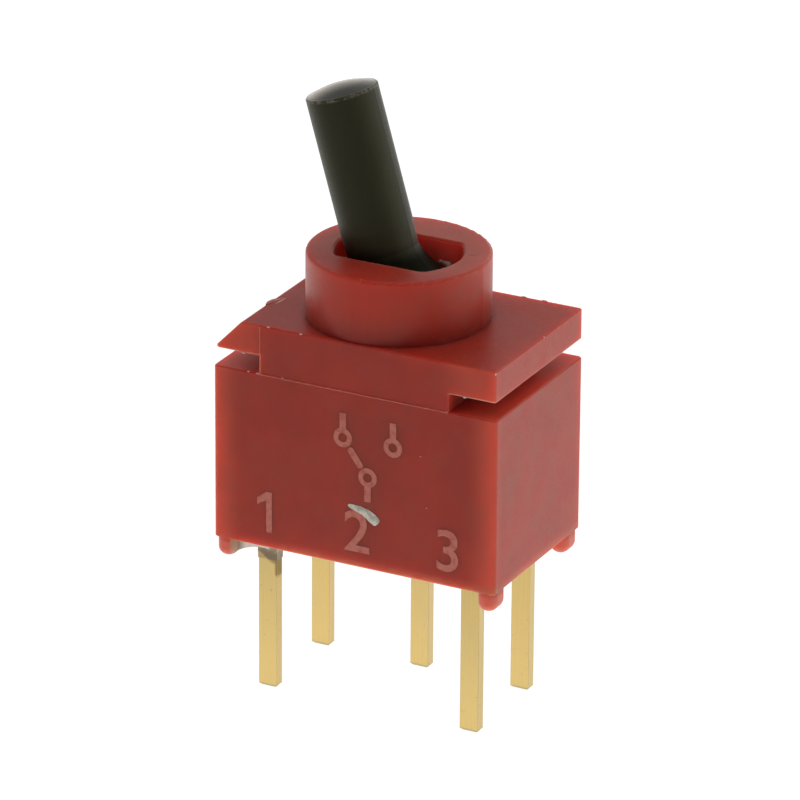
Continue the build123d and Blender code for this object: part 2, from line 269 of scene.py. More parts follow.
BLACK = colour(0.010, 0.010, 0.005)
BLACK_DEEP = colour(0.006, 0.006, 0.003)
DOME_HIGHLIGHT = colour(0.90, 0.81, 0.66)            # painted highlight on the lever's dome
FLASH = colour(0.13, 0.12, 0.09)           # ragged line round the dome's rim

GOLD = colour(0.80, 0.61, 0.25)
GOLD_DRAWN = colour(0.74, 0.55, 0.21)
GOLD_PATCH = colour(0.64, 0.53, 0.27)
GOLD_SHEARED_SHADED = colour(0.62, 0.48, 0.22)    # the strip's cut sides: a duller finish, darkened further with painted shade
GOLD_PIT = colour(0.42, 0.34, 0.17)
# painted shade along the pins' edges
GOLD_EDGE_SHADE = colour(0.36, 0.30, 0.17)
GOLD_TIP = colour(0.30, 0.29, 0.18)
GOLD_STAIN = colour(0.260, 0.185, 0.060)

RESIN_CLEAR = colour(0.95, 0.95, 0.86)     # thin web beside the pin
RESIN_PALE = colour(0.66, 0.62, 0.48)
RESIN_DARK = colour(0.40, 0.38, 0.28)
RESIN_BROWN = colour(0.260, 0.200, 0.105)
RESIN_FILM = colour(0.62, 0.45, 0.17)      # so thin that the pin shows through

INK = colour(0.64, 0.190, 0.140)

# Pairs, the darker tone first.
DARK_NYLON = (colour(0.04, 0.04, 0.036), colour(0.07, 0.07, 0.065))
FOLLOWER_METAL = (colour(0.55, 0.50, 0.38), colour(0.72, 0.66, 0.50))
SPRING_STEEL = (colour(0.45, 0.45, 0.45), colour(0.62, 0.62, 0.62))
RUBBED_RED = (colour(0.20, 0.02, 0.02), colour(0.34, 0.05, 0.04))
DRIED_PASTE = (colour(0.44, 0.41, 0.33), colour(0.84, 0.78, 0.65))
CRUMB_PINK = (colour(0.80, 0.32, 0.25), colour(0.96, 0.62, 0.54))
TORN_PINK = (colour(0.80, 0.26, 0.20), colour(0.92, 0.46, 0.38))
GREASE = (colour(0.42, 0.28, 0.22), colour(0.78, 0.60, 0.50))


# ---- red moulding: where each shade lies --------------------------------------------------
# spot is the surface point's X, Y and Z; facing is the size of each part of its normal.
WETTED_FROM = -4.20             # where X + Y / 2 reaches the side that the resin has run over
WETTED_FULL = -4.12


def upright(nodes, facing):
    """1 on upright faces, 0 on level ones."""
    return nodes.smooth(facing[2], 0.5, 0.9, 1.0, 0.0)


def light_through_rims(nodes, spot, facing):
    """Most at the solid rims round the hollow case, and under the flange's two ends."""
    x, y, z = spot
    across_x, across_y = facing[:2]
    off_middle = nodes.absolute(x)
    from_end = nodes.minus(housing_high.x, off_middle)
    from_face = nodes.minus(-front_y, nodes.absolute(y))
    ends = nodes.times(nodes.smooth(from_end, 0.0, 0.80, 1.0, 0.0), across_y)
    faces = nodes.times(nodes.smooth(from_face, 0.0, 0.40, 0.35, 0.0), across_x)
    bottom = nodes.smooth(z, case_bottom, case_bottom + 0.35, 0.22, 0.0)
    overhang = nodes.times(nodes.smooth(z, FLANGE_BOTTOM - 0.1, FLANGE_BOTTOM),
                           nodes.smooth(off_middle, 1.9, 2.9, 0.0, 0.75),
                           nodes.smooth(across_y, 0.3, 0.8, 0.1, 1.0))
    ledge = nodes.times(nodes.smooth(off_middle, NOTCH_ROOT, 2.9),
                        nodes.smooth(nodes.highest(across_x, across_y), 0.2, 0.5, 1.0, 0.0),
                        nodes.smooth(z, CASE_TOP + 0.02, CASE_TOP + 0.06, 1.0, 0.0))
    return nodes.highest(ends, faces, bottom, overhang, ledge)


def slot_walls(nodes, spot, facing):
    """The upper walls of the lever's slot."""
    x, y, z = spot
    within = nodes.smooth(nodes.from_axis(x, y), SLOT_RADIUS + 0.02, SLOT_RADIUS + 0.08, 1.0, 0.0)
    return nodes.times(within,
                       nodes.smooth(facing[2], 0.3, 0.6, 1.0, 0.0),
                       nodes.smooth(z, bushing_top - 2.2, bushing_top - 0.9))


def bushing_wall(nodes, spot, facing):
    """The bushing's wall, more towards its top."""
    return nodes.times(nodes.smooth(spot[2], FLANGE_TOP + 0.35, FLANGE_TOP + 0.9, 0.0, 0.5),
                       upright(nodes, facing))


def flange_by_bevel(nodes, spot, facing):
    """Painted shade on the flange's top, towards its bevelled end."""
    return nodes.times(nodes.smooth(spot[0], -2.4, -1.2, 0.40, 0.0),
                       nodes.smooth(facing[2], 0.8, 0.95),
                       nodes.smooth(spot[2], FLANGE_TOP - 0.10, FLANGE_TOP - 0.02))


def bushing_foot(nodes, spot):
    """The line where the bushing rises from the flange, which stays in deep shade."""
    x, y, z = spot
    near = nodes.smooth(nodes.from_axis(x, y), bushing_radius + 0.02, bushing_radius + 0.14, 1.0, 0.0)
    return nodes.times(near,
                       nodes.smooth(z, FLANGE_TOP - 0.1, FLANGE_TOP - 0.02),
                       nodes.smooth(z, FLANGE_TOP, FLANGE_TOP + 0.55, 1.0, 0.0),
                       0.8)


def wetted_foot(nodes, spot):
    """The side of the front -X foot that the resin has run over."""
    x, y, z = spot
    slanted = nodes.math("MULTIPLY_ADD", y, 0.5, x)
    return nodes.times(nodes.smooth(z, case_bottom - 0.02, case_bottom, 1.0, 0.0),
                       nodes.smooth(slanted, WETTED_FROM, WETTED_FULL, 0.0, 0.85),
                       nodes.smooth(y, -0.2, 0.2, 1.0, 0.0),
                       nodes.smooth(x, -0.2, 0.2, 1.0, 0.0))


def case_hem(nodes, place, spot, facing):
    """A painted glow along the case's lower edge, as if lit from the floor: uneven, and weaker near its -X end."""
    z = spot[2]
    uneven = nodes.smooth(nodes.noise(place, 3.0, detail=3.0, shift=30.0), 0.38, 0.60, 0.55, 1.0)
    return nodes.times(nodes.smooth(z, case_bottom + 0.03, case_bottom + 0.26, 0.55, 0.0),
                       upright(nodes, facing),
                       nodes.smooth(z, case_bottom - 0.03, case_bottom + 0.01),
                       uneven,
                       nodes.smooth(spot[0], -2.6, -1.2, 0.25, 1.0))


def bushing_end(nodes, spot, facing):
    """Painted sheen on the bushing's end, fading towards its front."""
    return nodes.times(nodes.smooth(spot[2], bushing_top - 0.06, bushing_top - 0.01),
                       facing[2],
                       nodes.smooth(spot[1], -1.3, -0.3),
                       0.35)


def edges_and_specks(nodes, place, normal):
    """Broken stretches of the moulded edges, pale partly from flash and partly from a painted highlight, and a few
    specks.
    """
    bend = nodes.rounded_normal(0.035, normal)[1]
    broken = nodes.smooth(nodes.noise(place, 5.0, detail=5.0, shift=3.0), 0.50, 0.66)
    edge = nodes.times(nodes.smooth(bend, 0.02, 0.22, 0.0, 0.45), broken)
    speck = nodes.smooth(nodes.noise(place, 7.5, detail=1.0, shift=8.0), 0.775, 0.80, 0.0, 0.25)
    return nodes.highest(edge, speck)


def red_moulding():
    """Satin nylon, a little translucent, with mottling, pale broken edges that are partly flash and partly painted
    highlight, and painted glow, shade and sheen in its colour.
    """
    made, nodes, shader = new_material("red_moulding")
    place = nodes.place_mm()
    spot = nodes.split(place)
    normal = nodes.true_normal()
    facing = [nodes.absolute(part) for part in nodes.split(normal)]
    blotches = nodes.smooth(nodes.noise(place, 1.3, detail=3.0, shift=12.0), 0.40, 0.66, 0.0, 0.22)
    dull = nodes.smooth(nodes.noise(place, 2.1, detail=4.0, shift=21.0), 0.36, 0.68, 0.0, 0.26)
    layers = (
        (light_through_rims(nodes, spot, facing), RED_GLOW),
        (slot_walls(nodes, spot, facing), RED_SLOT),
        (bushing_wall(nodes, spot, facing), RED_LIT),
        (flange_by_bevel(nodes, spot, facing), RED_BEVEL_SHADE),
        (bushing_foot(nodes, spot), RED_SHADE),
        # the feet below the case: painted glow
        (nodes.smooth(spot[2], case_bottom - 0.15, case_bottom, 1.0, 0.0), RED_FEET_GLOW),
        (wetted_foot(nodes, spot), RESIN_DARK),
        (case_hem(nodes, place, spot, facing), RED_LOW_GLOW),
        (bushing_end(nodes, spot, facing), RED_RIM_SHEEN),
        (blotches, RED_BROWN),
        (nodes.times(dull, facing[0]), RED_DULL),
        (edges_and_specks(nodes, place, normal), RED_PALE_HIGHLIGHT_AND_FLASH),
    )
    tone = nodes.mix(nodes.smooth(nodes.noise(place, 0.9), 0.35, 0.65), RED_DEEP, RED)
    for share, tint in layers:
        tone = nodes.mix(share, tone, tint)
    grain = nodes.noise(place, 14.0, detail=4.0)
    nodes.feed(shader, "Base Color", tone)
    nodes.feed(shader, "Roughness", nodes.smooth(grain, 0.3, 0.7, 0.36, 0.46))
    nodes.feed(shader, "Specular IOR Level", nodes.smooth(facing[2], 0.5, 0.9, 0.50, 0.15))
    shader.inputs["Specular Tint"].default_value = colour(1.0, 0.92, 0.78)
    shader.inputs["IOR"].default_value = 1.46
    shader.inputs["Subsurface Weight"].default_value = 1.0
    shader.inputs["Subsurface Radius"].default_value = (1.0, 0.35, 0.28)
    shader.inputs["Subsurface Scale"].default_value = 0.90 * MM
    shader.inputs["Subsurface Anisotropy"].default_value = 0.3
    shader.inputs["Sheen Weight"].default_value = 0.15
    shader.inputs["Sheen Roughness"].default_value = 0.25
    shader.inputs["Sheen Tint"].default_value = colour(1.0, 0.80, 0.70)
    bumped(nodes, shader, grain, 0.0025)
    return made


# ---- black moulding of the lever ----------------------------------------------------------
HIGHLIGHT_SIDE = Vector((-0.624, 0.760, -0.182))      # the side of the dome that carries the painted highlight


def dome_dust(nodes, place, on_dome, grain):
    """A painted highlight on the dome, stronger towards its far side."""
    across = nodes.minus(nodes.dot(place, tuple(HIGHLIGHT_SIDE)), HIGHLIGHT_SIDE.dot(dome_middle))
    return nodes.times(on_dome,
                       nodes.smooth(across, -0.55, 0.42, 0.0, 0.95),
                       nodes.smooth(grain, 0.30, 0.60, 0.80, 1.0))


def rim_flash(nodes, place, along):
    """The ragged line of flash round the rim of the dome."""
    ragged = nodes.noise(place, 9.0, detail=4.0, shift=6.0)
    return nodes.times(nodes.smooth(along, lever_rim - 0.05, lever_rim),
                       nodes.smooth(along, lever_rim + 0.04, lever_rim + 0.06, 1.0, 0.0),
                       nodes.smooth(ragged, 0.42, 0.62, 0.1, 1.0))


def black_moulding():
    """Satin olive-black nylon with faint drag lines along the lever and a ragged end, with a painted highlight
    over the dome's far side.
    """
    made, nodes, shader = new_material("black_moulding")
    place = nodes.place_mm()
    along = nodes.dot(place, tuple(lever_axis))
    on_dome = nodes.smooth(along, lever_rim + 0.03, lever_rim + 0.06)
    in_slot = nodes.smooth(nodes.split(place)[2], bushing_top - 0.15, bushing_top + 0.30, 1.0, 0.0)
    streak = nodes.noise(nodes.stretched(place, (1.0, 1.0, 0.12)), 4.0, detail=4.0)
    grain = nodes.noise(place, 18.0)
    tone = nodes.mix(nodes.smooth(streak, 0.3, 0.7), BLACK_DEEP, BLACK)
    tone = nodes.mix(dome_dust(nodes, place, on_dome, grain), tone, DOME_HIGHLIGHT)
    tone = nodes.mix(rim_flash(nodes, place, along), tone, FLASH)
    rough = nodes.minus(nodes.smooth(grain, 0.3, 0.7, 0.44, 0.52), nodes.times(on_dome, 0.24))
    sheen = nodes.times(nodes.smooth(on_dome, 0.0, 1.0, 0.30, 0.06), nodes.minus(1.0, in_slot))
    dull = nodes.highest(nodes.times(in_slot, 0.46), nodes.times(on_dome, 0.30))
    nodes.feed(shader, "Base Color", tone)
    nodes.feed(shader, "Roughness", rough)
    nodes.feed(shader, "Specular IOR Level", nodes.minus(0.50, dull))
    nodes.feed(shader, "Sheen Weight", sheen)
    shader.inputs["Sheen Roughness"].default_value = 0.25
    shader.inputs["Sheen Tint"].default_value = colour(1.0, 0.94, 0.82)
    shader.inputs["Specular Tint"].default_value = colour(1.0, 0.98, 0.60)
    shader.inputs["IOR"].default_value = 1.46
    bumped(nodes, shader, grain, 0.003)
    return made


# ---- gold plate and resin -----------------------------------------------------------------

def slanted_height(nodes, spot, slope, ragged):
    """Height with a ragged edge, over a line that falls to the right from the front -X pin's head."""
    slant = nodes.times(nodes.minus(spot[0], pin_low.x), slope)
    return nodes.plus(nodes.plus(spot[2], slant), ragged)


def pin_stain(nodes, place):
    """Resin that has crept down under the collar, and run down the pin's right edge."""
    spot = nodes.split(place)
    ragged = nodes.times(nodes.noise(place, 5.0, detail=4.0), 0.30)
    height = slanted_height(nodes, spot, 0.45, ragged)
    crept = nodes.smooth(height, case_bottom - 0.43, case_bottom - 0.30, 0.0, 0.60)
    run = nodes.times(nodes.smooth(spot[0], pin_right - 0.07, pin_right - 0.01),
                      nodes.smooth(height, case_bottom - 0.70, case_bottom - 0.58),
                      0.75)
    return nodes.highest(crept, run)


def gold_plate(name, stained=False):
    """Pale gold plate with drawn lines along the strip, faint pits, dull sheared sides that also carry painted
    shade, and painted shade along the edges.
    """
    made, nodes, shader = new_material(name)
    place = nodes.place_mm()
    normal = nodes.true_normal()
    rounded, bend = nodes.rounded_normal(0.03, normal)
    lines = nodes.noise(nodes.stretched(place, (1.0, 1.0, 0.03)), 16.0, detail=3.0)
    patch = nodes.noise(nodes.stretched(place, (1.0, 1.0, 0.35)), 2.2, detail=3.0, shift=2.0)
    pits = nodes.noise(place, 9.0, detail=2.0, shift=5.0)
    # the cut sides, darker both for their duller finish and for painted shade
    sheared = nodes.smooth(nodes.absolute(nodes.split(normal)[0]), 0.6, 0.9, 0.0, 0.85)
    tone = nodes.mix(nodes.smooth(lines, 0.3, 0.7), GOLD_DRAWN, GOLD)
    tone = nodes.mix(nodes.smooth(patch, 0.45, 0.8, 0.0, 0.35), tone, GOLD_PATCH)
    tone = nodes.mix(nodes.smooth(pits, 0.66, 0.72, 0.0, 0.5), tone, GOLD_PIT)
    tone = nodes.mix(sheared, tone, GOLD_SHEARED_SHADED)
    # painted shade along the rounded edges
    tone = nodes.mix(nodes.smooth(bend, 0.01, 0.25, 0.0, 0.40), tone, GOLD_EDGE_SHADE)
    tone = nodes.mix(nodes.smooth(nodes.split(place)[2], 0.03, 0.09, 0.55, 0.0), tone, GOLD_TIP)
    rough = nodes.smooth(lines, 0.3, 0.7, 0.36, 0.50)
    if stained:
        stain = pin_stain(nodes, place)
        tone = nodes.mix(stain, tone, GOLD_STAIN)
        rough = nodes.plus(rough, nodes.times(stain, 0.2))
    nodes.feed(shader, "Base Color", tone)
    nodes.feed(shader, "Roughness", rough)
    shader.inputs["Metallic"].default_value = 1.0
    bumped(nodes, shader, lines, 0.004, normal=rounded)
    return made


def resin():
    """Grey-green potting resin: clear in its hanging web, a brown film where it ends on the pin."""
    made, nodes, shader = new_material("resin")
    place = nodes.place_mm()
    spot = nodes.split(place)
    x, y = spot[:2]
    cloud = nodes.noise(place, 3.5, detail=4.0)
    on_pin = nodes.times(nodes.smooth(x, pin_left - 0.05, pin_left - 0.01),
                         nodes.smooth(y, pin_low.y - 0.06, pin_low.y - 0.035))
    off_pin = nodes.minus(1.0, on_pin)
    ragged = nodes.times(nodes.noise(place, 7.0, detail=4.0), 0.22)
    height = slanted_height(nodes, spot, 0.18, ragged)
    steeper = slanted_height(nodes, spot, 0.78, ragged)
    clear = nodes.smooth(x, pin_left - 0.26, pin_left - 0.12, 0.0, 0.85)
    brown = nodes.smooth(height, case_bottom - 0.34, case_bottom - 0.10, 1.0, 0.0)
    film = nodes.smooth(steeper, case_bottom - 0.31, case_bottom - 0.24, 1.0, 0.0)
    tone = nodes.mix(nodes.smooth(cloud, 0.35, 0.65), RESIN_DARK, RESIN_PALE)
    tone = nodes.mix(nodes.times(clear, off_pin), tone, RESIN_CLEAR)
    tone = nodes.mix(nodes.times(brown, on_pin), tone, RESIN_BROWN)
    tone = nodes.mix(nodes.times(film, on_pin), tone, RESIN_FILM)
    nodes.feed(shader, "Base Color", tone)
    shader.inputs["Roughness"].default_value = 0.28
    bumped(nodes, shader, cloud, 0.02)
    return made


# ---- hidden pieces, print and smears --------------------------------------------------------

def dark_moulding():
    made, nodes, shader = new_material("dark_moulding")
    grain = nodes.noise(nodes.place_mm(), 12.0)
    nodes.feed(shader, "Base Color", nodes.mix(grain, *DARK_NYLON))
    shader.inputs["Roughness"].default_value = 0.55
    bumped(nodes, shader, grain, 0.004)
    return made


def bare_metal(name, tones):
    made, nodes, shader = new_material(name)
    grain = nodes.noise(nodes.place_mm(), 20.0)
    nodes.feed(shader, "Base Color", nodes.mix(grain, *tones))
    shader.inputs["Metallic"].default_value = 1.0
    shader.inputs["Roughness"].default_value = 0.34
    bumped(nodes, shader, grain, 0.002)
    return made


def ink():
    """Thin salmon print that lets some of the moulding show through."""
    made, nodes, shader = new_material("ink")
    place = nodes.place_mm()
    thin = nodes.noise(place, 9.0, detail=5.0, roughness=0.65)
    patch = nodes.noise(place, 1.6, detail=2.0, shift=4.0)
    cover = nodes.times(nodes.smooth(thin, 0.32, 0.56, 0.45, 1.0),
                        nodes.smooth(patch, 0.25, 0.5, 0.75, 1.0))
    nodes.feed(shader, "Base Color", nodes.mix(cover, RED_DEEP, INK))
    shader.inputs["Roughness"].default_value = 0.6
    bumped(nodes, shader, thin, 0.003)
    return made


def pale_smear(name, tones, translucent=0.0):
    """A dried smear or a crumb: clouded, with darker cracks."""
    made, nodes, shader = new_material(name)
    place = nodes.place_mm()
    cloud = nodes.noise(place, 6.0, detail=4.0)
    lines = nodes.noise(place, 9.0, detail=3.0, shift=1.5)
    tone = nodes.mix(nodes.smooth(cloud, 0.3, 0.65), *tones)
    tone = nodes.mix(nodes.smooth(lines, 0.52, 0.66, 0.0, 0.7), tone, tones[0])
    nodes.feed(shader, "Base Color", tone)
    nodes.feed(shader, "Roughness", nodes.smooth(cloud, 0.3, 0.7, 0.42, 0.60))
    shader.inputs["Subsurface Weight"].default_value = translucent
    shader.inputs["Subsurface Radius"].default_value = (1.0, 0.7, 0.6)
    shader.inputs["Subsurface Scale"].default_value = 0.05 * MM
    bumped(nodes, shader, cloud, 0.01)
    return made


# ---- floor and world ------------------------------------------------------------------------
FLOOR_HALF = 400.0
FLOOR_SEEN = 0.92               # glow that the camera sees
FLOOR_NEAR = 0.80               # glow that lights the object, under it and behind it
FLOOR_AHEAD = 0.36              # and in front of it
AHEAD_ENDS = (-12.0, -3.0)      # along Y, where the floor turns from the one to the other
PAPER = colour(0.6, 0.6, 0.6)
PAPER_SEEN = colour(0.3, 0.3, 0.3)          # less, because the camera sees the glow on top of it
SKY_BACK = 0.58
SKY_FRONT = 0.30
SKY_FRONT_HEADING = (0.15, -0.97, 0.17)


def make_floor():
    """A white floor, dimmer ahead of the front face."""
    mesh = bpy.data.meshes.new("floor")
    half = FLOOR_HALF * MM
    corners = [(-half, -half, 0), (half, -half, 0), (half, half, 0), (-half, half, 0)]
    mesh.from_pydata(corners, [], [(0, 1, 2, 3)])
    floor = bpy.data.objects.new("floor", mesh)
    bpy.context.scene.collection.objects.link(floor)
    made = bpy.data.materials.new("floor")
    made.use_nodes = True
    nodes = Nodes(made.node_tree)
    seen = nodes.add("ShaderNodeLightPath").outputs["Is Camera Ray"]
    paper_tone = nodes.mix(seen, PAPER, PAPER_SEEN)
    paper = nodes.add("ShaderNodeBsdfDiffuse", Color=paper_tone)
    level = nodes.smooth(nodes.split(nodes.place_mm())[1], *AHEAD_ENDS, FLOOR_AHEAD, FLOOR_NEAR)
    strength = nodes.highest(nodes.times(seen, FLOOR_SEEN), level)
    glow = nodes.add("ShaderNodeEmission", Color=WHITE, Strength=strength)
    both = nodes.add("ShaderNodeAddShader")
    nodes.feed(both, "0", paper.outputs[0])
    nodes.feed(both, "1", glow.outputs[0])
    nodes.output("ShaderNodeOutputMaterial", both)
    mesh.materials.append(made)


def make_world():
    """A white tent, dimmer on the side that the front face looks at; gloss sees its white cloth."""
    world = bpy.data.worlds.new("tent")
    bpy.context.scene.world = world
    world.use_nodes = True
    nodes = Nodes(world.node_tree)
    direction = nodes.add("ShaderNodeTexCoord").outputs["Generated"]
    front = nodes.dot(direction, SKY_FRONT_HEADING)
    level = nodes.smooth(front, -0.10, 0.85, SKY_BACK, SKY_FRONT)
    rays = nodes.add("ShaderNodeLightPath").outputs
    mirrored = nodes.times(nodes.highest(rays["Is Glossy Ray"], rays["Is Transmission Ray"]),
                           nodes.smooth(front, -0.10, 0.60, 1.0, SKY_FRONT))
    strength = nodes.highest(level, nodes.highest(rays["Is Camera Ray"], mirrored))
    light = nodes.add("ShaderNodeBackground", Color=WHITE, Strength=strength)
    nodes.output("ShaderNodeOutputWorld", light)


make_floor()
make_world()
bpy.context.scene.view_settings.view_transform = "Standard"


# ---- finish of the CAD nodes ----------------------------------------------------------------

def dress(node, material):
    """Puts a material in every slot of a CAD node."""
    for slot in frame["nodes"][node].material_slots:
        slot.link = "OBJECT"
        slot.material = material


dress("housing", red_moulding())
gold = gold_plate("gold_plate")
dress("lever", black_moulding())
dress("terminal_seal", resin())
dress("base", dark_moulding())
dress("plunger", bare_metal("follower_metal", FOLLOWER_METAL))
dress("plunger_spring", bare_metal("spring_steel", SPRING_STEEL))
for name in ("rocker_contact", "common_terminal", "left_terminal", "right_terminal", "right_support_pin"):
    dress(name, gold)
dress("left_support_pin", gold_plate("gold_plate_stained", stained=True))


# ---- print on the front face ------------------------------------------------------------------
PRINT_PROUD = 0.004
STROKE = 0.16
RING_RADIUS = 0.23
SYMBOL_CENTRE = (0.36, 6.42)
CONTACT_ASIDE = 0.62            # from the symbol's centre to a contact, sideways and up
CONTACT_ABOVE = 0.42
LEAD_LENGTH = 0.58              # from a contact's middle to the end of its lead
DIGIT_HEIGHT = 0.97
DIGIT_FOOT = 4.18
NUMBER_MIDDLES = (-2.1, 0.1, 2.35)      # along X
CAPITAL_SHARE = 0.70            # a numeral's height in the built-in font, per unit of size

ink_material = ink()


def arc(centre, radius, start, end, steps):
    """Points on an arc, angles in degrees."""
    points = []
    for step in range(steps + 1):
        angle = math.radians(start + (end - start) * step / steps)
        points.append((centre[0] + radius * math.cos(angle), centre[1] + radius * math.sin(angle)))
    return points


def lollipop(centre, radius, length, heading):
    """Outline of a disc with a bar that leaves it, heading in degrees."""
    half = math.degrees(math.asin(STROKE / 2 / radius))
    round_part = arc(centre, radius, heading + half, heading + 360 - half, 28)
    along = Vector((math.cos(math.radians(heading)), math.sin(math.radians(heading))))
    across = Vector((-along.y, along.x))
    end = Vector(centre) + along * length
    return round_part + [tuple(end - across * STROKE / 2), tuple(end + across * STROKE / 2)]


def capsule(first, second, width):
    """Outline of a bar with round ends."""
    heading = math.degrees(math.atan2(second[1] - first[1], second[0] - first[0]))
    return (arc(first, width / 2, heading + 90, heading + 270, 10)
            + arc(second, width / 2, heading - 90, heading + 90, 10))


def as_print(name, drawn):
    """Turns a flat curve or text into a mesh that stands on the front face."""
    mesh = bpy.data.meshes.new_from_object(drawn)
    bpy.data.objects.remove(drawn)
    turn = Matrix.Rotation(math.radians(90), 4, "X")
    mesh.transform(Matrix.Translation((0, (front_y - PRINT_PROUD / 2) * MM, 0)) @ turn)
    mesh.name = name
    piece = bpy.data.objects.new(name, mesh)
    bpy.context.scene.collection.objects.link(piece)
    mesh.materials.clear()
    mesh.materials.append(ink_material)
    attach(piece, "body")
    return piece


def printed(name, loops):
    """Flat outlines in X and Z as a thin print on the front face; inner loops are holes."""
    curve = bpy.data.curves.new(name, "CURVE")
    curve.dimensions = "2D"
    curve.fill_mode = "BOTH"
    curve.extrude = PRINT_PROUD / 2 * MM
    for loop in loops:
        spline = curve.splines.new("POLY")
        spline.points.add(len(loop) - 1)
        for point, (x, z) in zip(spline.points, loop):
            point.co = (x * MM, z * MM, 0, 1)
        spline.use_cyclic_u = True
    as_print(name, bpy.data.objects.new(name, curve))


def print_symbol():
    """Change-over contact symbol: two contacts over, the common one under, the blade thrown left."""
    x, z = SYMBOL_CENTRE
    left = (x - CONTACT_ASIDE, z + CONTACT_ABOVE)
    right = (x + CONTACT_ASIDE, z + CONTACT_ABOVE)
    common = (x, z - CONTACT_ABOVE)
    hole = RING_RADIUS - STROKE * 0.75
    loops = []
    for centre, heading in ((left, 90), (right, 90), (common, -90)):
        loops.append(lollipop(centre, RING_RADIUS, LEAD_LENGTH, heading))
        loops.append(arc(centre, hole, 0, 360, 20)[:-1])
    blade = (Vector(left) - Vector(common)).normalized()
    start = Vector(common) + blade * (RING_RADIUS + STROKE * 0.6)
    end = Vector(left) - blade * (RING_RADIUS + STROKE * 0.7)
    loops.append(capsule(tuple(start), tuple(end), STROKE))
    printed("contact_symbol", loops)


def print_one(x):
    """The numeral 1 as one outline: an upright bar with a flag."""
    half = STROKE * 0.45
    flag = x - 0.30
    foot, top = DIGIT_FOOT, DIGIT_FOOT + DIGIT_HEIGHT
    printed("number_1", [[(x - half, foot), (x + half, foot), (x + half, top), (x - half, top),
                          (flag, top - 0.17), (flag, top - 0.34), (x - half, top - 0.20)]])


def print_number(text, x):
    """A numeral of the built-in font, a little bolder than it comes."""
    curve = bpy.data.curves.new("number_" + text, "FONT")
    curve.body = text
    curve.align_x = "CENTER"
    curve.size = DIGIT_HEIGHT / CAPITAL_SHARE * MM
    curve.offset = 0.015 * MM
    curve.extrude = PRINT_PROUD / 2 * MM
    piece = as_print("number_" + text, bpy.data.objects.new("number_" + text, curve))
    piece.data.transform(Matrix.Translation((x * MM, 0, DIGIT_FOOT * MM)))


print_symbol()
print_one(NUMBER_MIDDLES[0])
print_number("2", NUMBER_MIDDLES[1])
print_number("3", NUMBER_MIDDLES[2])


# ---- surfaces that wear lies on: u and v run over them, lift stands off them --------------------
BURR_OUT = 0.38                 # the way that the burr on the bevel's edge leans
BURR_UP = 0.92


def on_front(u, v, lift):
    return Vector((u, front_y - lift, v))


def on_flange(u, v, lift):
    return Vector((u, v, FLANGE_TOP + lift))


def on_flange_end(u, v, lift):
    return Vector((FLANGE_END + lift, u, v))


def on_bevel_edge(u, v, lift):
    """Over the edge between the flange's top and its bevelled end, leaning outwards."""
    below = max(0.0, BEVEL_TOP - u) * (FLANGE_TOP - FLANGE_BOTTOM) / (BEVEL_TOP + FLANGE_END)
    return Vector((u - BURR_OUT * lift, v, FLANGE_TOP - below + BURR_UP * lift))


def on_rim(u, v, lift):
    return Vector((u, v, bushing_top + lift))


# ---- forms of wear ------------------------------------------------------------------------------

def along_spine(points, share):
    """A point on a smooth line through the given points."""
    last = len(points) - 1
    step = min(int(share * last), last - 1)
    part = share * last - step
    before, start, end, after = (Vector(points[min(max(step + offset, 0), last)])
                                 for offset in (-1, 0, 1, 2))
    return (start * 2 + (end - before) * part
            + (before * 2 - start * 5 + end * 4 - after) * part ** 2
            + (start * 3 - before - end * 3 + after) * part ** 3) / 2


def smear(spine, width, height, surface, ragged=0.12, steps=26, sections=8):
    """Points and faces of a low ridge along a line on a surface; width is a function of the share."""
    chance = random.Random(len(spine) * 31 + steps)
    points = []
    for step in range(steps + 1):
        share = step / steps
        middle = along_spine(spine, share)
        ahead = along_spine(spine, min(share + 0.02, 1.0)) - along_spine(spine, max(share - 0.02, 0.0))
        side = Vector((-ahead.y, ahead.x)).normalized()
        left = width(share) / 2 * (1 + ragged * (chance.random() - 0.5))
        right = width(share) / 2 * (1 + ragged * (chance.random() - 0.5))
        for section in range(sections + 1):
            across = 2 * section / sections - 1
            reach = across * (left if across > 0 else right)
            spot = middle + side * reach
            lift = height * (1 - abs(across) ** 3) * min(1.0, width(share) * 8)
            points.append(surface(spot.x, spot.y, lift))
    faces = []
    row = sections + 1
    for step in range(steps):
        for section in range(sections):
            corner = step * row + section
            faces.append((corner, corner + 1, corner + row + 1, corner + row))
    return points, faces


def blob(centre, radii, seed, rings=5, segments=10):
    """Points and faces of a small lumpy ball."""
    chance = random.Random(seed)
    points = [centre + Vector((0, 0, radii[2]))]
    for ring in range(1, rings):
        polar = math.pi * ring / rings
        for segment in range(segments):
            turn = 2 * math.pi * segment / segments
            swell = 0.78 + 0.4 * chance.random()
            points.append(centre + Vector((radii[0] * math.sin(polar) * math.cos(turn),
                                           radii[1] * math.sin(polar) * math.sin(turn),
                                           radii[2] * math.cos(polar))) * swell)
    points.append(centre - Vector((0, 0, radii[2])))
    faces = []
    for segment in range(segments):
        following = (segment + 1) % segments
        faces.append((0, 1 + segment, 1 + following))
        for ring in range(rings - 2):
            upper = 1 + ring * segments
            lower = upper + segments
            faces.append((upper + segment, lower + segment, lower + following, upper + following))
        low = 1 + (rings - 2) * segments
        faces.append((low + segment, len(points) - 1, low + following))
    return points, faces


